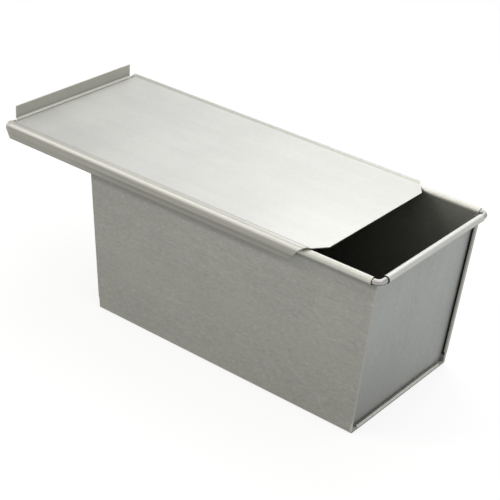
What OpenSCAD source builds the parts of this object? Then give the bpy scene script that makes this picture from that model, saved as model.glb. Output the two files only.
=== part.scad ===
// Loaf pan with a sliding cover, in millimetres.
// +Z is up and +X runs along the pan. The origin is the middle of the pan's underside.
// The cover is drawn part open, slid towards -X.

/* [Pan] */
// Clear length of the mouth, between the two end beads
mouth_l = 200.6; // [150:0.2:420]
// Clear width of the mouth, between the two side beads
mouth_w = 102.2; // [70:0.2:160]
// Height from the underside to the top of the rim
pan_h = 102.2; // [60:0.2:160]
// Length of the base, over the seams at both ends
base_l = 187.5; // [140:0.5:410]
// How far the side walls lean out from the vertical, in degrees
side_lean = 1.5858; // [1.3:0.0001:1.8]
// Thickness of the steel sheet
sheet_t = 0.5; // [0.35:0.05:0.7]
// Outside radius of the bend between the bottom and the side walls
base_bend_r = 2.1; // [2:0.1:6]

/* [Rim] */
// Diameter of the wire inside the rolled rim
wire_d = 3.3; // [2:0.1:5]
// Gap between the wire and the sheet rolled round it
wire_fit = 0.05; // [0.02:0.01:0.1]
// Corner radius of the wire, on its axis
wire_corner_r = 3.5; // [3:0.5:12]
// Straight wire left bare beside each corner, along the sides
bare_side = 0.5; // [0.2:0.1:6]
// Straight wire left bare beside each corner, along the ends
bare_end = 2.5; // [0.2:0.1:6]
// Part of the bead's circle that the rolled edge leaves open, in degrees
curl_open = 40; // [25:5:90]

/* [End seams] */
// Depth of the folded seam, from its tip to the edge of the return
hem_depth = 1.6; // [1.4:0.1:2.4]
// Depth of an end panel's outer face behind the tip of its seam
panel_set = 2.8; // [2.6:0.1:5]
// Inside radius of the bend between an end panel and its flanges
flange_bend_r = 0.3; // [0.2:0.1:0.6]
// Gap between the layers of a seam
seam_fit = 0.02; // [0.01:0.01:0.05]
// Length of the seam's return that is cut away beside each corner of the base
hem_notch = 4.5; // [1:0.5:8]
// Gap between the tip of a seam and the inside of the end bead, at the height of the wire
seam_inset = 0.1; // [0:0.1:3]
// Gap between the top of a seam and the bare wire above it
seam_top_gap = 0.3; // [0.3:0.1:3]
// Height of the flat pressed on the foot of each side seam
foot_flat_h = 5.5; // [2:0.5:12]
// Distance from the middle of the seam's fold to that flat
foot_flat_r = 0.5; // [0.5:0.05:0.7]

/* [End panel flare] */
// Drop from the wire's axis to the start of the flare that carries the end bead
flare_drop = 8; // [6:0.5:14]
// Inside radius of the bend at the start of the flare
flare_bend_r = 2; // [1:0.5:3]
// Gap between the flare's side edges and the seam's return
flare_relief = 0.4; // [0.3:0.1:1.5]
// Length by which that gap starts below the flare's bend
relief_below = 1; // [0.5:0.5:3]

/* [Cover] */
// Length of the cover, from the lip to the tab's edge
cover_l = 228.2; // [160:0.2:460]
// How far the cover is drawn open
open_by = 58.3; // [0:0.1:200]
// Height of the cover's underside above the rim
cover_lift = 0.3; // [0.3:0.05:1]
// Gap between the side bead and the rolled side of the cover
roll_clear = 1.9; // [0.5:0.1:3]
// Outside radius of the rolled sides
roll_r = 3.2; // [2.6:0.1:5]
// Height of the rolled sides above the cover's flat top
roll_rise = 0.7; // [0.3:0.1:1.5]
// Radius of the hollow between the flat top and a rolled side
valley_r = 2; // [1:0.1:5]
// Inward lean of the skirts below the rolls, in degrees
skirt_lean = 20; // [10:1:25]
// Height of the cover's sides, from the crest of the roll to the skirt's edge
side_h = 11.4; // [9:0.1:13]

/* [Cover ends] */
// Width of the flat tab at the front end
tab_w = 89.2; // [50:0.2:100]
// Angle at which the sheet is cut back from the tab's corners, in degrees
tab_cut = 37.3; // [20:0.1:50]
// Width of the turned-up lip at the rear end
lip_w = 99.4; // [50:0.2:100]
// Height of the lip above the cover's flat top
lip_h = 8.8; // [5:0.1:20]
// Inside radius of the bend under the lip
lip_bend_r = 1.5; // [0.8:0.1:4]
// Width of the slot between each end of the lip and the rolled side
lip_slot = 0.8; // [0.4:0.1:2]

/* [Hidden] */
$fn = 64;

// Allowance by which cutting and trimming shapes run past the solids
over = 1;
// Length by which the separately drawn parts of one sheet are laid over each other
lap = 0.5;
// Steps along each stretch of the slanting cut where it crosses the roll
roll_steps = 6;
// Turn from the roll's crest beyond which the slanting cut is drawn in the side view
side_from = 45;

// Rim: the wire's axis, and the sheet curled round it
wire_r = wire_d / 2;
curl_r = wire_r + wire_fit;
bead_r = curl_r + sheet_t;
rim_x = mouth_l / 2 + bead_r;
rim_y = mouth_w / 2 + bead_r;
rim_z = pan_h - bead_r;
side_bead_x = rim_x - wire_corner_r - bare_side;
end_bead_y = rim_y - wire_corner_r - bare_end;

// Side walls: they lean out from the base and meet the side beads as tangents
base_half_w = rim_y - rim_z * tan(side_lean) - curl_r / cos(side_lean);
bend_y = base_half_w - base_bend_r * (1 - sin(side_lean)) / cos(side_lean);
wall_rise = (rim_y - bend_y) * sin(side_lean) + (rim_z - base_bend_r) * cos(side_lean);

// Seams: three layers of sheet, folded to a round tip. They start at the foot of the side walls.
fold_r = (3 * sheet_t + 2 * seam_fit) / 2;
seam_foot_y = bend_y + base_bend_r * cos(side_lean);
seam_foot_z = base_bend_r * (1 - sin(side_lean));
seam_rise = rim_z - wire_r - seam_top_gap - seam_foot_z;
seam_out = mouth_l / 2 - seam_inset - base_l / 2;
panel_lean = atan2(seam_out, rim_z - seam_foot_z);
seam_lean_in_wall = atan(tan(panel_lean) * cos(side_lean));
seam_lean_in_panel = atan(tan(side_lean) * cos(panel_lean));
seam_l = seam_rise / cos(side_lean) / cos(seam_lean_in_wall);

// End panels, in their own plane: out is measured from the seams' tips and up from the seams' feet
bend_out = flange_bend_r - panel_set;
middle_out = -panel_set - sheet_t / 2;
corner_up = (base_bend_r - seam_foot_z + middle_out * sin(panel_lean)) / cos(panel_lean);
flange_in = 2 * sheet_t + seam_fit + flange_bend_r;
plate_foot = (flange_in - seam_foot_z + bend_out * sin(panel_lean)) / cos(panel_lean);
bottom_flange_l = -fold_r - bend_out * cos(panel_lean) - plate_foot * sin(panel_lean);
side_flange_l = -fold_r - bend_out;
wire_out = (bead_r + seam_inset) * cos(panel_lean);
wire_up = (rim_z - seam_foot_z) / cos(panel_lean) + (bead_r + seam_inset) * sin(panel_lean);
flare_up = wire_up - flare_drop;
flare_run = wire_out - flare_bend_r + panel_set;
flare_turn = tangent_lean(flare_run, flare_drop, flare_bend_r + sheet_t - bead_r);
flare_l = flare_run * sin(flare_turn) + flare_drop * cos(flare_turn);

// Cover: heights, ends and the centre of its roll
cover_under = pan_h + cover_lift;
cover_top = cover_under + sheet_t;
cover_back = -rim_x - bead_r - open_by;
cover_front = cover_back + cover_l;
roll_y = rim_y + bead_r + roll_clear + sheet_t - roll_r;
roll_z = cover_top + roll_rise - roll_r;
roll_turn = acos(1 - roll_rise / (roll_r + valley_r));
valley_y = roll_y - (roll_r + valley_r) * sin(roll_turn);
skirt_z = roll_z - roll_r * sin(skirt_lean);
skirt_l = (skirt_z - (cover_top + roll_rise - side_h)) / cos(skirt_lean);
skirt_in_y = roll_y + (roll_r - sheet_t) * cos(skirt_lean) - skirt_l * sin(skirt_lean);
crest_cut_x = cover_front - (roll_y - tab_w / 2) * tan(tab_cut);
lip_bend_x = cover_back + sheet_t + lip_bend_r;

// Lean from the vertical of a line that passes two centres, one at the foot of a rise and one at its head.
// gap is how much further inside the foot's centre it passes than inside the head's.
function tangent_lean(run, rise, gap) = atan2(run, rise) + asin(gap / norm([run, rise]));

// The right half of an outline, followed by its mirror image
function both_sides(right) = concat(right, [for (i = [len(right) - 1:-1:0]) [-right[i].x, right[i].y]]);

// Half width of an end panel at height up, a given depth inside the side wall's outer face
function inside_wall(up, depth) =
  seam_foot_y + up * tan(seam_lean_in_panel) - depth / cos(seam_lean_in_panel);

// Bent strip of sheet round the origin. It starts below it, heading along +X, and turns anticlockwise by a.
module bend(r, a) {
  reach = 2 * (r + sheet_t);
  difference() {
    circle(r = r + sheet_t);
    circle(r = r);
    if (a < 180) {
      translate([-reach, -reach])
        square([reach, 2 * reach]);
      rotate(a)
        translate([0, -reach])
          square([reach, 2 * reach]);
    } else
      intersection() {
        translate([-reach, -reach])
          square([reach, 2 * reach]);
        rotate(a)
          translate([0, -reach])
            square([reach, 2 * reach]);
      }
  }
}

// Sheet sections are drawn as the sheet is folded: each stretch carries on from the end of the one before.
// A stretch heads along +X, with the sheet between y = 0 and y = sheet_t. First, a flat stretch of length l.
module flat(l) {
  square([l, sheet_t]);
  translate([l, 0])
    children();
}

// Bend through angle a towards the upper face, with inside radius r
module fold_up(r, a) {
  translate([0, r + sheet_t]) {
    bend(r, a);
    rotate(a)
      translate([0, -r - sheet_t])
        children();
  }
}

// Bend through angle a towards the lower face, with inside radius r
module fold_down(r, a) {
  translate([0, -r]) {
    mirror([0, 1])
      bend(r, a);
    rotate(-a)
      translate([0, r])
        children();
  }
}

// Extrudes a section drawn in Y and Z along X, between x0 and x1
module along_x(x0, x1) {
  translate([x0, 0, 0])
    rotate([90, 0, 90])
      linear_extrude(x1 - x0)
        children();
}

// Extrudes a section drawn in X and Z along Y, to half_w on both sides
module along_y(half_w) {
  rotate([90, 0, 0])
    linear_extrude(2 * half_w, center = true)
      children();
}

module both_x() {
  for (side = [0, 1])
    mirror([side, 0, 0])
      children();
}

module both_y() {
  for (side = [0, 1])
    mirror([0, side, 0])
      children();
}

// Frames at the right-hand end. The first lies in the end panel: x out from the seams' tips, z up the panel.
module at_panel() {
  translate([base_l / 2, 0, seam_foot_z])
    rotate([0, panel_lean, 0])
      children();
}

// At a side seam, squared to the end panel: y is measured out from the wall's face, z up the seam
module at_panel_edge() {
  at_panel()
    translate([0, seam_foot_y, 0])
      rotate([-seam_lean_in_panel, 0, 0])
        children();
}

// At a side seam, squared to the side wall
module at_side_seam() {
  translate([base_l / 2, bend_y, base_bend_r])
    rotate([-side_lean, 0, 0])
      rotate([0, seam_lean_in_wall, 0])
        translate([0, base_bend_r, 0])
          children();
}

// Wrap: bottom, side walls and side beads, in Y and Z
module wrap_section() {
  for (side = [0, 1])
    mirror([side, 0])
      flat(bend_y)
        fold_up(base_bend_r - sheet_t, 90 - side_lean)
          flat(wall_rise)
            fold_down(curl_r, 360 - curl_open);
}

// Side view of the wrap: its ends stop inside the seams' folds, and the side beads leave the elbows bare
module wrap_outline() {
  foot_x = base_l / 2 - fold_r / cos(panel_lean) - lap;
  foot_z = seam_foot_z + 2 * lap;
  head_z = seam_foot_z + seam_rise;
  head_x = foot_x + (head_z - foot_z) * tan(panel_lean);
  polygon(both_sides([
    [foot_x, -over],
    [foot_x, foot_z],
    [head_x, head_z],
    [side_bead_x, head_z],
    [side_bead_x, pan_h + over]
  ]));
}

// Outer layer and round tip of a seam. x is measured out from the tip and y from the outer face.
module seam_tip() {
  translate([-fold_r - 2 * lap, -sheet_t])
    flat(2 * lap)
      fold_down(fold_r - sheet_t, 180)
        children();
}

// Cuts one end of a seam's return away, over a given length, and leaves it slanting
module return_notch(length) {
  reach = 2 * hem_depth;
  translate([0, seam_fit - 2 * fold_r + sheet_t, 0])
    rotate([90, 0, 0])
      linear_extrude(sheet_t + seam_fit + over)
        polygon([
          [-fold_r, -over],
          [-fold_r, length],
          [-fold_r - reach, length + reach],
          [-fold_r - reach, -over]
        ]);
}

// Seam of a given length: the sheet's edge folded over to hold a panel's flange
module hem(length, foot_notch, head_notch) {
  difference() {
    linear_extrude(length)
      seam_tip()
        flat(hem_depth - fold_r);
    return_notch(foot_notch);
    translate([0, 0, length])
      mirror([0, 0, 1])
        return_notch(head_notch);
  }
}

// Flat pressed on the foot of a side seam
module foot_flat() {
  translate([-fold_r, -fold_r, -base_bend_r])
    rotate([0, 0, 45])
      translate([foot_flat_r, -hem_depth, 0])
        cube([over, 2 * hem_depth, base_bend_r + foot_flat_h]);
}

// The seam's tip carried round the bend between bottom and side wall
module corner_hem() {
  translate([base_l / 2, bend_y, base_bend_r])
    rotate([0, 90, 0])
      rotate_extrude(angle = 90 - side_lean)
        translate([base_bend_r, 0])
          mirror([1, -1])
            seam_tip();
}

module bottom_hem() {
  translate([base_l / 2, -bend_y, 0])
    rotate([-90, 0, 0])
      hem(2 * bend_y, hem_notch, hem_notch);
}

module body_sheet() {
  color("#A9ABA6") {
    intersection() {
      along_x(-rim_x, rim_x)
        wrap_section();
      along_y(rim_y + bead_r + over)
        wrap_outline();
    }
    both_x() {
      bottom_hem();
      both_y()
        difference() {
          union() {
            at_side_seam()
              hem(seam_l, hem_notch, 0);
            corner_hem();
          }
          at_side_seam()
            foot_flat();
        }
    }
  }
}

// Folded section of an end panel, in its own frame: plate, flare and end bead, and below it the bottom flange
module panel_section() {
  mirror([1, -1])
    translate([plate_foot, -panel_set - sheet_t]) {
      flat(flare_up - plate_foot)
        fold_up(flare_bend_r, flare_turn)
          flat(flare_l)
            fold_up(curl_r, 360 - curl_open);
      mirror([1, 0])
        fold_up(flange_bend_r, 90 + panel_lean)
          flat(bottom_flange_l);
    }
}

// End view of the folded section: the plate up to its side bends, the narrower flare, then the end bead
module panel_outline() {
  plate_in = flange_in + lap / 2;
  flare_in = 2 * fold_r + flare_relief;
  head_up = seam_rise / cos(panel_lean);
  step_up = flare_up - relief_below;
  polygon(both_sides([
    [bend_y, -base_bend_r - over],
    [bend_y, corner_up],
    [inside_wall(corner_up, plate_in), corner_up],
    [inside_wall(step_up, plate_in), step_up],
    [inside_wall(step_up, flare_in), step_up],
    [inside_wall(head_up, flare_in), head_up],
    [end_bead_y, head_up],
    [end_bead_y, wire_up + bead_r + over]
  ]));
}

// Edge of the plate, its bend and a side flange, in the frame of the panel's edge
module side_flange() {
  translate([-panel_set, -flange_in - lap])
    rotate(90)
      flat(lap)
        fold_down(flange_bend_r, 90)
          flat(side_flange_l);
}

// Round corner of the plate, where the flanges are notched
module panel_corner() {
  corner_r = base_bend_r - sheet_t - 2 * seam_fit;
  translate([-panel_set - sheet_t, bend_y, corner_up])
    rotate([0, 90, 0])
      cylinder(r = corner_r, h = sheet_t);
}

module end_panel_right() {
  color("#AEAFAA") {
    at_panel() {
      intersection() {
        along_y(rim_y)
          panel_section();
        along_x(-panel_set - sheet_t - over, wire_out + bead_r + over)
          panel_outline();
      }
      both_y()
        panel_corner();
    }
    both_y()
      at_panel_edge()
        linear_extrude(seam_l)
          side_flange();
  }
}

module end_panel_left() {
  mirror([1, 0, 0])
    end_panel_right();
}

module rim_wire() {
  straight_x = rim_x - wire_corner_r;
  straight_y = rim_y - wire_corner_r;
  color("#C8C9C5")
    translate([0, 0, rim_z]) {
      both_y()
        translate([-straight_x, rim_y, 0])
          rotate([0, 90, 0])
            cylinder(r = wire_r, h = 2 * straight_x);
      both_x() {
        translate([rim_x, straight_y, 0])
          rotate([90, 0, 0])
            cylinder(r = wire_r, h = 2 * straight_y);
        both_y()
          translate([straight_x, straight_y, 0])
            rotate_extrude(angle = 90)
              translate([wire_corner_r, 0])
                circle(r = wire_r);
      }
    }
}

// Cover: flat top, hollows, rolls and skirts, in Y and Z
module cover_section() {
  for (side = [0, 1])
    mirror([side, 0])
      translate([0, cover_under])
        flat(valley_y)
          fold_up(valley_r, roll_turn)
            fold_down(roll_r - sheet_t, roll_turn + 90 + skirt_lean)
              flat(skirt_l);
}

// Places of the slanting cut on the roll, as [x, y, z], between two angles of turn from its crest
function roll_cut(a0, a1) = [
  for (i = [0:roll_steps])
    let (a = a0 + (a1 - a0) * i / roll_steps)
      [crest_cut_x - roll_r * a * PI / 180 * tan(tab_cut), roll_y + roll_r * sin(a), roll_z + roll_r * cos(a)]
];

// The slanting cut seen from above, from the tab's corner over the crest of the roll
module cut_over_top() {
  beyond = cover_front + over;
  on_roll = [for (p = roll_cut(0, side_from)) [p.x, p.y]];
  both_y()
    translate([0, 0, roll_z])
      linear_extrude(roll_r + over)
        polygon(concat(
          [[cover_front, tab_w / 2]],
          on_roll,
          [[beyond, roll_y + roll_r], [beyond, tab_w / 2]]
        ));
}

// Cuts with an outline drawn in X and Z, from outside the cover in to half width y_in
module cut_side(y_in, outline) {
  y_out = roll_y + roll_r + over;
  both_y()
    translate([0, y_out, 0])
      rotate([90, 0, 0])
        linear_extrude(y_out - y_in)
          polygon(outline);
}

// The same cut carried down the side: the rest of the roll's upper quarter, then its lower part and the skirt
module cut_down_side() {
  top = cover_top + roll_rise + over;
  beyond = cover_front + over;
  skirt_run = skirt_l + over;
  skirt_turned = roll_r * (90 + skirt_lean) * PI / 180;
  skirt_end_x = crest_cut_x - (skirt_turned + skirt_run) * tan(tab_cut);
  skirt_end = [skirt_end_x, skirt_z - skirt_run * cos(skirt_lean)];
  upper_turn = [for (p = roll_cut(side_from, 90)) [p.x, p.z]];
  lower_turn = [for (p = roll_cut(90, 90 + skirt_lean)) [p.x, p.z]];
  upper = concat([[beyond, roll_z], [beyond, top], [upper_turn[0].x, top]], upper_turn);
  lower = concat([[beyond, roll_z]], lower_turn, [skirt_end, [beyond, skirt_end.y]]);
  cut_side(roll_y + roll_r * sin(side_from), upper);
  cut_side(skirt_in_y - over, lower);
}

// Room for the lip: the flat top ends at its bend, and a slot runs a little deeper at each end of it
module lip_gap() {
  gap_h = sheet_t + 2 * over;
  translate([cover_back - over, -lip_w / 2 - lip_slot, cover_under - over])
    cube([lip_bend_x - cover_back + over, lip_w + 2 * lip_slot, gap_h]);
  both_y()
    translate([cover_back - over, lip_w / 2, cover_under - over])
      cube([lip_bend_x - cover_back + 2 * over, lip_slot, gap_h]);
}

// Turned-up lip, folded from the end of the flat top
module lip() {
  along_y(lip_w / 2)
    translate([lip_bend_x + lap, cover_under])
      mirror([1, 0])
        flat(lap)
          fold_up(lip_bend_r, 90)
            flat(lip_h - lip_bend_r);
}

module cover() {
  color("#D2D3CF") {
    difference() {
      along_x(cover_back, cover_front)
        cover_section();
      cut_over_top();
      cut_down_side();
      lip_gap();
    }
    lip();
  }
}

body_sheet();
end_panel_left();
end_panel_right();
rim_wire();
cover();
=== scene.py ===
"""Looks of the covered loaf pan: satin tinned sheet steel, on a plain pale floor, seen as in the photograph.

Everything is in metres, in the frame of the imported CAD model. The shapes all come from that model. This script gives
each of its nodes a procedural metal, and adds the floor, the light and the camera.
"""

import math

import bpy
from mathutils import Matrix, Vector


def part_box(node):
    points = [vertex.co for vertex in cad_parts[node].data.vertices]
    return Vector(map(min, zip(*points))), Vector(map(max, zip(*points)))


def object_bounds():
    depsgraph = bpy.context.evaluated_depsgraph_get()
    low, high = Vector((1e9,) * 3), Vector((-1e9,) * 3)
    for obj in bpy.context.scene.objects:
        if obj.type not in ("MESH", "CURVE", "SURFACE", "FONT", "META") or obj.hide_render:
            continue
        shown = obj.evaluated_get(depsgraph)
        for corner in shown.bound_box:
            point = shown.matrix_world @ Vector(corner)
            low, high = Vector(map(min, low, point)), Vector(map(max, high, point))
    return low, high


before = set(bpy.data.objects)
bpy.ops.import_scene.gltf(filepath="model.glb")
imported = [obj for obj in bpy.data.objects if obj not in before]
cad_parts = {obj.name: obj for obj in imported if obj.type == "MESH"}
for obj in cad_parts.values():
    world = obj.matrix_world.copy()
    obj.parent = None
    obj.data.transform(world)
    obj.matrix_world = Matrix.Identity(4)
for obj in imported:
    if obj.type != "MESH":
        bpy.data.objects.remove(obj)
cad_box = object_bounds()

# Colours are linear RGB
SHEET_TONE = (0.358, 0.360, 0.327)
SHEET_DARK = (0.331, 0.333, 0.302)
END_TONE = (0.388, 0.398, 0.385)
END_DARK = (0.359, 0.369, 0.357)
COVER_TONE = (0.535, 0.54, 0.518)
COVER_DARK = (0.505, 0.51, 0.488)
# Painted shade: the darker tone of the cover's sides, skirts and the inner sides of its rolled edges
COVER_SHADE_TONE = (0.398, 0.391, 0.346)
WIRE_TONE = (0.45, 0.445, 0.432)
WIRE_DARK = (0.39, 0.386, 0.374)
# Bright tin for speckle and scratches, and the tone of painted highlights on the end panels and the cover
BRIGHT_TIN_AND_HIGHLIGHT = (0.72, 0.72, 0.69)
# Painted light on the wrap's seams, notches, folds and upper inner walls, and wear with a painted highlight on its rim
LIGHT_AND_WEAR_TIN = (0.93, 0.925, 0.86)
# Near black: dark speckle and streaks, and the tone of painted shade in recesses and under parts
DIRT_AND_SHADE = (0.018, 0.017, 0.014)
FLOOR_TONE = (0.92, 0.92, 0.92)
WHITE = (1.0, 1.0, 1.0)
WARM_WHITE = (1.0, 0.93, 0.82)

# Where things are, in metres
body_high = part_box("body_sheet")[1]
cover_low, cover_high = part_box("cover")
RIM_TOP = body_high.z
SKIRT_EDGE_Z = cover_low.z
BEAD = 0.0044
SEAM_TIP_X = 0.09361
SEAM_SLOPE = 0.0659
WALL_FOOT_Y = 0.04883
WALL_SLOPE = 0.0277
SIDE_BEAD_X = 0.0985
END_BEAD_Y = 0.0473
FOOT_RETURN_Y = 0.0417


# ---------------------------------------------------------------- node helpers
class Graph:
    """Builds one node tree. Each method adds a node and returns the output that carries its result."""

    def __init__(self, tree):
        self.tree = tree
        tree.nodes.clear()

    def node(self, kind, inputs=None, **settings):
        n = self.tree.nodes.new(kind)
        for key, value in settings.items():
            setattr(n, key, value)
        for key, value in (inputs or {}).items():
            self.feed(n.inputs[key], value)
        return n

    def feed(self, socket, value):
        if isinstance(value, bpy.types.NodeSocket):
            self.tree.links.new(value, socket)
        else:
            socket.default_value = value

    def maths(self, operation, a, b=0.0, c=0.0, clamp=False):
        n = self.node("ShaderNodeMath", {0: a, 1: b, 2: c}, operation=operation, use_clamp=clamp)
        return n.outputs[0]

    def place(self):
        """Object coordinates: the object sits at the origin, so these are metres in the CAD frame."""
        return self.node("ShaderNodeTexCoord").outputs["Object"]

    def scaled(self, vector, scale, turn=(0, 0, 0)):
        return self.node("ShaderNodeMapping", {"Vector": vector, "Scale": scale, "Rotation": turn}).outputs[0]

    def axes(self, vector):
        return self.node("ShaderNodeSeparateXYZ", {0: vector}).outputs

    def noise(self, vector, scale=1.0, detail=2.0, rough=0.5):
        n = self.node("ShaderNodeTexNoise", {"Vector": vector, "Scale": scale, "Detail": detail, "Roughness": rough})
        return n.outputs["Fac"]

    def span(self, value, low, high, to_low=0.0, to_high=1.0):
        """value from low..high to to_low..to_high, held at the ends and eased between them."""
        n = self.node(
            "ShaderNodeMapRange",
            {"Value": value, "From Min": low, "From Max": high, "To Min": to_low, "To Max": to_high},
            interpolation_type="SMOOTHSTEP",
        )
        return n.outputs[0]

    def mix(self, factor, a, b):
        """Colour a, going to colour b as factor goes to 1."""
        n = self.node("ShaderNodeMix", data_type="RGBA")
        for socket, value in ((n.inputs[0], factor), (n.inputs[6], a), (n.inputs[7], b)):
            self.feed(socket, (*value, 1.0) if isinstance(value, tuple) else value)
        return n.outputs[2]

    def bump(self, height, distance, strength=1.0, under=None):
        inputs = {"Height": height, "Distance": distance, "Strength": strength}
        if under is not None:
            inputs["Normal"] = under
        return self.node("ShaderNodeBump", inputs).outputs[0]


def new_material(name):
    material = bpy.data.materials.new(name)
    material.use_nodes = True
    return material, Graph(material.node_tree)


# ---------------------------------------------------------------- masks, from 0 to 1
def facing(g):
    """The true face normal, without bumps."""
    return g.axes(g.node("ShaderNodeNewGeometry").outputs["True Normal"])


def on_rim(g):
    """The rolled rim, which the cover and hands rub on, made lighter both as wear and as a painted highlight."""
    return g.span(g.axes(g.place())[2], RIM_TOP - 0.8 * BEAD, RIM_TOP - 0.4 * BEAD, 0.0, 0.62)


def along_foot(g):
    """The stretch of the foot seams between the notches beside their corners."""
    return g.span(g.maths("ABSOLUTE", g.axes(g.place())[1]), FOOT_RETURN_Y, FOOT_RETURN_Y + 0.0012, 1.0, 0.0)


def from_seam_tip(g):
    """Distance inwards from the outermost plane of the wrap's folded edges, at either end."""
    x, y, z = g.axes(g.place())
    tip_x = g.maths("MULTIPLY_ADD", z, SEAM_SLOPE, SEAM_TIP_X)
    return g.maths("SUBTRACT", tip_x, g.maths("ABSOLUTE", x))


def near_seam_tip(g):
    """The folded edges of the wrap round both ends."""
    return g.span(from_seam_tip(g), 0.0018, 0.0026, 1.0, 0.0)


def by_notch(g):
    """Painted light on the foot of the seams beside their corners, in the notches, which lie in shade."""
    low = g.span(g.axes(g.place())[2], 0.004, 0.008, 0.7, 0.0)
    low = g.maths("MULTIPLY", low, g.span(g.maths("ABSOLUTE", facing(g)[1]), 0.1, 0.3, 1.0, 0.0))
    return g.maths("MULTIPLY", g.maths("MULTIPLY", low, near_seam_tip(g)), g.maths("SUBTRACT", 1.0, along_foot(g)))


def seam_crevice(g):
    """Painted shade in the narrow recess between an end panel's plate and the seams round it, down both sides and along
    the foot.
    """
    x, y, z = g.axes(g.place())
    wall_y = g.maths("MULTIPLY_ADD", z, WALL_SLOPE, WALL_FOOT_Y)
    from_wall = g.maths("SUBTRACT", wall_y, g.maths("ABSOLUTE", y))
    sides = g.maths("MULTIPLY", g.span(from_wall, 0.0013, 0.0019, 1.0, 0.0), g.span(z, 0.004, 0.006))
    foot = g.maths("MULTIPLY", g.span(z, 0.00100, 0.00116, 0.12, 0.0), along_foot(g))
    below_bead = g.span(z, RIM_TOP - BEAD - 0.0004, RIM_TOP - BEAD + 0.0002, 1.0, 0.0)
    return g.maths("MULTIPLY", g.maths("MAXIMUM", sides, foot), below_bead)


def far_side(g):
    """Less painted shade on the +Y side."""
    return g.span(g.axes(g.place())[1], -0.02, 0.02, 1.0, 0.3)


def bead_end_across(g, axis):
    """Cut ends of the rolled beads, which face along an axis (0 for X, 1 for Y), painted dark as shade."""
    high = g.span(g.axes(g.place())[2], RIM_TOP - BEAD - 0.0003, RIM_TOP - BEAD)
    square_on = g.span(g.maths("ABSOLUTE", facing(g)[axis]), 0.85, 0.97)
    return g.maths("MULTIPLY", g.maths("MULTIPLY", high, square_on), far_side(g))


def wrap_painted_shade(g):
    """Painted shade on the wrap: cut ends of its beads, edges of the seams' returns, the seams' heads and feet; and
    painted shadow in the bands below the bead and behind the cover's skirts."""
    x, y, z = g.axes(g.place())
    nx, ny, nz = facing(g)
    outward = g.maths("MULTIPLY", g.maths("SIGN", x), nx)
    return_edge = g.span(outward, -0.75, -0.95)
    head = g.span(z, RIM_TOP - BEAD - 0.0012, RIM_TOP - BEAD, 0.0, 0.9)
    head = g.maths("MULTIPLY", head, g.span(z, RIM_TOP - 0.0041, RIM_TOP - 0.0040, 1.0, 0.0))
    foot = g.span(z, 0.0006, 0.0012, 0.6, 0.0)
    outer_foot = g.maths("MULTIPLY", g.span(from_seam_tip(g), 0.0003, 0.0008, 0.5, 0.0), g.span(z, 0.001, 0.002, 1.0, 0.0))
    foot = g.maths("MAXIMUM", foot, outer_foot)
    ends = g.maths("MULTIPLY", near_seam_tip(g), g.maths("MAXIMUM", head, foot))
    # painted shadow of the cover's skirt on the wall, mostly where the cover lies along X
    below_skirt = g.span(z, SKIRT_EDGE_Z - 0.0070, SKIRT_EDGE_Z - 0.0035, 0.0, 0.21)
    below_skirt = g.maths("MULTIPLY", below_skirt, g.span(x, 0.02, 0.07, 1.0, 0.15))
    # painted shadow below the bead
    below_bead = g.span(z, RIM_TOP - BEAD - 0.0044, RIM_TOP - BEAD - 0.0024, 0.0, 0.24)
    below_skirt = g.maths("MAXIMUM", below_skirt, below_bead)
    below_skirt = g.maths("MULTIPLY", below_skirt, g.span(z, RIM_TOP - BEAD, RIM_TOP - 0.8 * BEAD, 1.0, 0.0))
    outside = g.span(g.maths("MULTIPLY", g.maths("SIGN", y), ny), 0.3, 0.6)
    below_skirt = g.maths("MULTIPLY", below_skirt, outside)
    dark = g.maths("MAXIMUM", g.maths("MAXIMUM", return_edge, ends), below_skirt)
    return g.maths("MAXIMUM", dark, bead_end_across(g, 0))


# Painted shade on the end panels: in the recess round the seams and on the cut ends of their beads.
def panel_painted_shade(g):
    return g.maths("MAXIMUM", seam_crevice(g), bead_end_across(g, 1))


def wrap_light_and_wear(g):
    """Made lighter: painted light on the seams' returns, the pressed feet of the corner seams, the notches, the folds
    and the upper inner walls; wear and a painted highlight on the rim.
    """
    x, y, z = g.axes(g.place())
    nx, ny, nz = facing(g)
    foot_return = g.maths("MULTIPLY", g.span(nz, 0.15, 0.6), g.span(z, 0.002, 0.003, 1.0, 0.0))
    foot_return = g.maths("MULTIPLY", foot_return, along_foot(g))
    side_return = g.span(g.maths("MULTIPLY", g.maths("SIGN", y), ny), -0.3, -0.8, 0.0, 0.45)
    returns = g.maths("MAXIMUM", g.maths("MULTIPLY", near_seam_tip(g), side_return), by_notch(g))
    diagonal = g.maths("MULTIPLY", g.maths("ABSOLUTE", nx), g.maths("ABSOLUTE", ny))
    foot_flat = g.maths("MULTIPLY", g.span(diagonal, 0.47, 0.495), g.span(z, 0.009, 0.010, 0.36, 0.0))
    inside = g.span(g.maths("MULTIPLY", g.maths("SIGN", y), ny), -0.5, -0.8)
    inside = g.maths("MULTIPLY", inside, g.span(z, 0.03, 0.085, 0.0, 0.22))
    fold = g.maths("MULTIPLY", g.span(from_seam_tip(g), 0.0002, 0.0008, 0.1, 0.0), g.span(z, 0.003, 0.005))
    returns = g.maths("MAXIMUM", returns, fold)
    faint = g.maths("MAXIMUM", g.maths("MAXIMUM", returns, foot_flat), g.maths("MAXIMUM", inside, on_rim(g)))
    return g.maths("MAXIMUM", g.maths("MULTIPLY", faint, 0.64), g.maths("MULTIPLY", near_seam_tip(g), foot_return))


def panel_light_and_wear(g):
    """Made lighter: the rim, as wear and a painted highlight; as painted light, the plate's corners in the notches and,
    faintly, the plate's high corner on the +Y side.
    """
    x, y, z = g.axes(g.place())
    high_corner = g.maths("MULTIPLY", g.span(y, -0.005, 0.04, 0.0, 0.10), g.span(z, 0.035, 0.085))
    return g.maths("MAXIMUM", g.maths("MAXIMUM", on_rim(g), by_notch(g)), high_corner)


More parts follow.
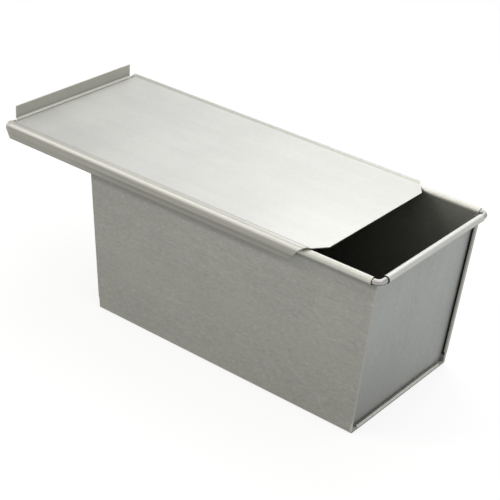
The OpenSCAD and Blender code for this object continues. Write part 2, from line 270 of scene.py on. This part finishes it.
def by_cover_edge(g, within):
    """The strip along both long edges of the cover, and how far its faces turn outwards, from -1 to 1."""
    y = g.axes(g.place())[1]
    strip = g.span(g.maths("ABSOLUTE", y), cover_high.y - within - 0.0010, cover_high.y - within)
    outward = g.maths("MULTIPLY", g.maths("SIGN", y), facing(g)[1])
    return strip, outward


def cover_painted_highlights(g):
    """Painted highlights on the cover: the shoulders of its rolled edges, the free edge of its lip, the lip's bend and,
    faintly, the lip itself and the flat top by the tab.
    """
    strip, outward = by_cover_edge(g, 0.0036)
    shoulder = g.maths("MULTIPLY", g.span(outward, 0.48, 0.76, 0.0, 0.62), g.span(facing(g)[2], 0.12, 0.38))
    z = g.axes(g.place())[2]
    lip = g.maths("MAXIMUM", g.span(z, cover_high.z - 0.0006, cover_high.z - 0.0002), g.span(z, RIM_TOP + 0.0022, RIM_TOP + 0.0036, 0.0, 0.20))
    bend = g.maths("MULTIPLY", g.span(z, RIM_TOP + 0.0009, RIM_TOP + 0.0012), g.span(z, RIM_TOP + 0.0018, RIM_TOP + 0.0023, 1.0, 0.0))
    bend = g.maths("MULTIPLY", bend, g.span(g.axes(g.place())[0], cover_low.x + 0.0026, cover_low.x + 0.0028, 0.6, 0.0))
    lip = g.maths("MAXIMUM", lip, bend)
    x, y, z = g.axes(g.place())
    by_tab = g.maths("MULTIPLY", g.span(x, 0.0, 0.05, 0.0, 0.24), g.span(y, 0.01, -0.03))
    lip = g.maths("MAXIMUM", lip, g.maths("MULTIPLY", by_tab, g.span(facing(g)[2], 0.9, 0.97)))
    return g.maths("MAXIMUM", g.maths("MULTIPLY", strip, shoulder), lip)


def cover_side_shade(g):
    """Painted shade, darker than the flat top: the skirts, the lip and its bend, and the rolled edges up to their
    crests.
    """
    strip, outward = by_cover_edge(g, 0.0048)
    inner = g.maths("MULTIPLY", strip, g.span(outward, 0.30, -0.20, 0.25, 0.62))
    bend = g.span(g.axes(g.place())[0], cover_low.x + 0.0024, cover_low.x + 0.0030, 1.0, 0.0)
    steep = g.span(facing(g)[2], 0.25, 0.75, 1.0, 0.0)
    return g.maths("MAXIMUM", g.maths("MAXIMUM", inner, bend), steep)


def cover_streaks_and_shade(g):
    """Streaks on the skirts, and painted shade on their lower halves, along their lower edges and in the bend of the
    lip.
    """
    place = g.place()
    x, y, z = g.axes(place)
    streaks = g.noise(g.scaled(place, (9, 40, 900)), detail=2)
    ragged = g.maths("MULTIPLY_ADD", g.maths("SUBTRACT", streaks, 0.5), 0.0040, z)
    skirt = g.maths("MULTIPLY", g.span(facing(g)[2], 0.15, 0.45, 1.0, 0.0), g.span(x, cover_low.x + 0.001, cover_low.x + 0.003))
    ahead = g.span(x, -0.13, -0.06)
    lower = g.span(ragged, cover_low.z + 0.0044, cover_low.z + 0.0060, 1.0, 0.0)
    lower = g.maths("MULTIPLY", lower, g.span(ragged, cover_low.z + 0.0020, cover_low.z + 0.0042, 0.22, 0.34))
    lower = g.maths("MULTIPLY", lower, g.maths("MULTIPLY_ADD", ahead, 0.6, 0.4))
    streaky = g.maths("MULTIPLY_ADD", ahead, -0.08, g.span(streaks, 0.35, 0.62, 0.18, 0.05))
    on_skirt = g.maths("MULTIPLY", skirt, g.maths("MAXIMUM", lower, streaky))
    skirt_edge = g.span(z, cover_low.z + 0.0002, cover_low.z + 0.0007, 0.5, 0.0)
    low_bend = g.span(x, cover_low.x + 0.0005, cover_low.x + 0.0009)
    low_bend = g.maths("MULTIPLY", low_bend, g.span(x, cover_low.x + 0.0024, cover_low.x + 0.0032, 0.16, 0.0))
    low_bend = g.maths("MULTIPLY", low_bend, g.span(z, RIM_TOP + 0.0002, RIM_TOP + 0.0004))
    return g.maths("MAXIMUM", g.maths("MAXIMUM", on_skirt, skirt_edge), low_bend)


def foot_shade(g):
    """Painted shade: the walls darker towards their foot."""
    return g.span(g.axes(g.place())[2], -0.005, 0.075, 0.85, 0.0)


def wall_shade(g):
    """The same painted shade on the long walls, more towards their +X ends."""
    return g.maths("MULTIPLY", foot_shade(g), g.span(g.axes(g.place())[0], -0.10, 0.10, 0.4, 1.25))


def end_shade(g):
    """The same painted shade on the ends, less towards their +Y sides."""
    return g.maths("MULTIPLY", foot_shade(g), g.span(g.axes(g.place())[1], -0.045, 0.045, 1.0, 0.35))


# ---------------------------------------------------------------- metals
def rolled_steel(name, tone, dark, grain_axis, rough, mottle, lit_and_worn, lit_tone, painted_shade, shade_tone, shade_and_grime):
    """Satin tinned sheet: rolling grain along an axis, cloudy tinning, speckle, a few hair scratches, slow waviness.

    The three masks say where the tin is made lighter, as painted light and, on the rim, partly as wear; where it is
    made darker as painted shade, towards the feet and on the cover's sides; and where it is darkened as painted shade
    in recesses and under parts, and by streaks on the cover's skirts.
    """
    material, g = new_material(name)
    place = g.place()
    along = {"x": (7, 900, 900), "z": (900, 900, 7)}[grain_axis]
    grain = g.noise(g.scaled(place, along), detail=3, rough=0.65)
    streaks = g.noise(g.scaled(place, tuple(s / 5 for s in along)), detail=2)
    clouds = g.noise(place, scale=24, detail=4, rough=0.6)
    drawn_out = {"x": (330, 720, 720), "z": (720, 720, 330)}[grain_axis]
    speckle = g.noise(g.scaled(place, drawn_out), detail=2, rough=0.7)
    slow = g.noise(place, scale=9, detail=1)
    across = {"x": (14, 380, 380), "z": (380, 380, 14)}[grain_axis]
    hair = g.noise(g.scaled(place, across, (0.12, 0.2, 0.31)), detail=1)
    scratches = g.span(g.maths("ABSOLUTE", g.maths("SUBTRACT", hair, 0.5)), 0.0, 0.006, 1.0, 0.0)
    patches = g.span(g.noise(place, scale=38, detail=1), 0.54, 0.68)
    scratches = g.maths("MULTIPLY", scratches, patches)

    shade = g.maths("MULTIPLY_ADD", streaks, 0.2, g.maths("MULTIPLY", clouds, 0.8))
    colour = g.mix(g.span(shade, 0.38, 0.62), dark, tone)
    # painted shade: darker towards the feet of the walls and ends, and on the cover's sides
    colour = g.mix(painted_shade(g), colour, shade_tone)
    colour = g.mix(g.span(speckle, 0.50, 0.80, 0.0, 0.14 * mottle), colour, BRIGHT_TIN_AND_HIGHLIGHT)
    colour = g.mix(g.span(speckle, 0.50, 0.20, 0.0, 0.15 * mottle), colour, DIRT_AND_SHADE)
    colour = g.mix(g.maths("MULTIPLY", scratches, 0.10), colour, BRIGHT_TIN_AND_HIGHLIGHT)
    gloss = g.maths("MULTIPLY_ADD", grain, 0.10, rough - 0.05)
    gloss = g.maths("MULTIPLY_ADD", clouds, 0.12, g.maths("SUBTRACT", gloss, 0.06))
    gloss = g.maths("MULTIPLY_ADD", scratches, -0.08, gloss)
    # painted light, and on the rim partly wear: the tin made lighter
    lightened = lit_and_worn(g)
    colour = g.mix(lightened, colour, lit_tone)
    gloss = g.maths("MULTIPLY_ADD", lightened, 0.06, gloss)
    # painted shade in recesses and under parts, and streaks on the cover's skirts: the tin made darker
    darkened = shade_and_grime(g)
    colour = g.mix(g.maths("MULTIPLY", darkened, 0.95), colour, DIRT_AND_SHADE)
    gloss = g.maths("MULTIPLY_ADD", darkened, 0.15, gloss)

    normal = g.bump(slow, 0.0016, 0.35)
    normal = g.bump(clouds, 0.00022, 0.35, normal)
    normal = g.bump(grain, 0.00002, 0.6, normal)
    shader = g.node(
        "ShaderNodeBsdfPrincipled",
        {"Base Color": colour, "Metallic": 1.0, "Roughness": gloss, "Normal": normal},
    )
    g.node("ShaderNodeOutputMaterial", {"Surface": shader.outputs[0]})
    return material


def drawn_wire(name):
    """Drawn wire under a film of tin: fine lines from the die, and painted shade on its underside and beside the ends
    of the beads.
    """
    material, g = new_material(name)
    place = g.place()
    film = g.noise(place, scale=90, detail=3, rough=0.6)
    lines = g.noise(place, scale=1500, detail=2, rough=0.6)
    colour = g.mix(g.span(film, 0.38, 0.62), WIRE_DARK, WIRE_TONE)
    x, y, z = g.axes(place)
    nz = facing(g)[2]
    by_side_bead = g.span(g.maths("ABSOLUTE", x), SIDE_BEAD_X + 0.0001, SIDE_BEAD_X + 0.0005, 1.0, 0.0)
    by_side_bead = g.maths("MULTIPLY", by_side_bead, g.span(nz, 0.0, 0.6, 0.9, 0.0))
    by_end_bead = g.span(g.maths("ABSOLUTE", y), END_BEAD_Y + 0.0005, END_BEAD_Y + 0.0010, 1.0, 0.0)
    by_end_bead = g.maths("MULTIPLY", by_end_bead, g.span(nz, 0.3, 0.8, 1.0, 0.4))
    by_beads = g.maths("MULTIPLY", g.maths("MAXIMUM", by_side_bead, by_end_bead), far_side(g))
    wire_painted_shade = g.maths("MAXIMUM", by_beads, g.span(nz, -0.15, -0.6, 0.0, 0.9))
    colour = g.mix(wire_painted_shade, colour, DIRT_AND_SHADE)
    gloss = g.maths("MULTIPLY_ADD", film, 0.14, 0.42)
    normal = g.bump(lines, 0.00002, 0.5)
    shader = g.node(
        "ShaderNodeBsdfPrincipled",
        {"Base Color": colour, "Metallic": 1.0, "Roughness": gloss, "Normal": normal},
    )
    g.node("ShaderNodeOutputMaterial", {"Surface": shader.outputs[0]})
    return material


def dress(node, material):
    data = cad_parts[node].data
    for i in range(max(1, len(data.materials))):
        if i < len(data.materials):
            data.materials[i] = material
        else:
            data.materials.append(material)


# In each call the colour after the light mask is the painted light's tone, and the tuple after the shade mask is the
# painted shade's tone.
wrap_steel = rolled_steel(
    "pan_steel_wrap", SHEET_TONE, SHEET_DARK, "x", 0.60, 1.0, wrap_light_and_wear, LIGHT_AND_WEAR_TIN, wall_shade, (0.30, 0.30, 0.27), wrap_painted_shade
)
end_steel = rolled_steel(
    "pan_steel_ends", END_TONE, END_DARK, "z", 0.60, 0.65, panel_light_and_wear, BRIGHT_TIN_AND_HIGHLIGHT, end_shade, (0.235, 0.24, 0.228), panel_painted_shade
)
cover_steel = rolled_steel(
    "cover_steel", COVER_TONE, COVER_DARK, "x", 0.58, 0.45, cover_painted_highlights, BRIGHT_TIN_AND_HIGHLIGHT, cover_side_shade, COVER_SHADE_TONE, cover_streaks_and_shade
)
dress("body_sheet", wrap_steel)
dress("end_panel_left", end_steel)
dress("end_panel_right", end_steel)
dress("rim_wire", drawn_wire("wire_steel"))
dress("cover", cover_steel)


# ---------------------------------------------------------------- floor and light
def add_floor():
    """Pale paper. The camera and the metal see it nearly white, with a faint shadow."""
    bpy.ops.mesh.primitive_plane_add(size=12, location=(0, 0, cad_box[0].z - 0.0002))
    floor = bpy.context.object
    floor.name = "floor"
    material, g = new_material("floor")
    paper = g.node("ShaderNodeBsdfDiffuse", {"Color": (*FLOOR_TONE, 1.0), "Roughness": 0.0})
    white = g.node("ShaderNodeEmission", {"Color": (*WHITE, 1.0), "Strength": 1.0})
    path = g.node("ShaderNodeLightPath").outputs
    seen = g.maths("MAXIMUM", path["Is Camera Ray"], path["Is Glossy Ray"])
    seen = g.maths("MAXIMUM", seen, path["Is Transmission Ray"])
    shader = g.node("ShaderNodeMixShader", {0: g.maths("MULTIPLY", seen, 0.82)})
    g.feed(shader.inputs[1], paper.outputs[0])
    g.feed(shader.inputs[2], white.outputs[0])
    g.node("ShaderNodeOutputMaterial", {"Surface": shader.outputs[0]})
    floor.data.materials.append(material)


def add_world():
    """A pale studio: bright overhead and behind the pan, dimmer in front of it, with a white cove at the floor."""
    world = bpy.data.worlds.new("studio")
    bpy.context.scene.world = world
    world.use_nodes = True
    g = Graph(world.node_tree)
    x, y, z = g.axes(g.node("ShaderNodeTexCoord").outputs["Generated"])
    height = g.span(z, 0.0, 0.75)
    horizon = g.span(g.maths("MULTIPLY_ADD", x, 0.35, y), -0.8, 0.9, 0.505, 0.58)
    strength = g.maths("MULTIPLY_ADD", height, g.maths("SUBTRACT", 0.78, horizon), horizon)
    cove = g.span(z, 0.02, 0.16, 1.0, 0.0)
    strength = g.maths("MULTIPLY_ADD", cove, g.maths("SUBTRACT", 0.98, strength), strength)
    background = g.node("ShaderNodeBackground", {"Color": (1, 1, 1, 1), "Strength": strength})
    g.node("ShaderNodeOutputWorld", {"Surface": background.outputs[0]})


def add_softbox(name, place, aim, size, watts, colour):
    light = bpy.data.lights.new(name, "AREA")
    light.shape = "RECTANGLE"
    light.size, light.size_y = size
    light.energy = watts
    light.color = colour
    lamp = bpy.data.objects.new(name, light)
    bpy.context.scene.collection.objects.link(lamp)
    lamp.location = place
    lamp.rotation_euler = (Vector(aim) - Vector(place)).to_track_quat("-Z", "Y").to_euler()


# ---------------------------------------------------------------- camera
AZIMUTH, ELEVATION, ROLL = (math.radians(a) for a in (36.46, 28.89, 4.16))
CAMERA_PLACE = (0.4072, -0.5764, 0.4460)
FOCAL_SHARE = 1390 / 500


def add_camera():
    """The photograph's camera. FOCAL_SHARE is its focal length as a share of the picture's width."""
    forward = Vector((
        -math.sin(AZIMUTH) * math.cos(ELEVATION),
        math.cos(AZIMUTH) * math.cos(ELEVATION),
        -math.sin(ELEVATION),
    ))
    level_right = Vector((math.cos(AZIMUTH), math.sin(AZIMUTH), 0))
    level_up = level_right.cross(forward)
    right = level_right * math.cos(ROLL) + level_up * math.sin(ROLL)
    up = level_up * math.cos(ROLL) - level_right * math.sin(ROLL)
    data = bpy.data.cameras.new("camera")
    data.sensor_width = 36
    data.lens = data.sensor_width * FOCAL_SHARE
    data.clip_start, data.clip_end = 0.05, 30
    camera = bpy.data.objects.new("camera", data)
    bpy.context.scene.collection.objects.link(camera)
    turn = Matrix((right, up, -forward)).transposed().to_4x4()
    camera.matrix_world = Matrix.Translation(CAMERA_PLACE) @ turn
    bpy.context.scene.camera = camera


add_floor()
add_world()
add_softbox("key_softbox", (-0.11, 0.37, 0.60), (0.05, 0, 0.1), (0.5, 0.5), 2.08, WHITE)
add_softbox("end_softbox", (0.36, -0.12, 0.80), (0.06, 0, 0.1), (0.7, 0.7), 1.9, WHITE)
add_softbox("front_softbox", (-0.47, -0.52, 0.76), (0, 0, 0.1), (0.3, 0.3), 2.4, WARM_WHITE)
add_camera()
bpy.context.scene.view_settings.view_transform = "Standard"
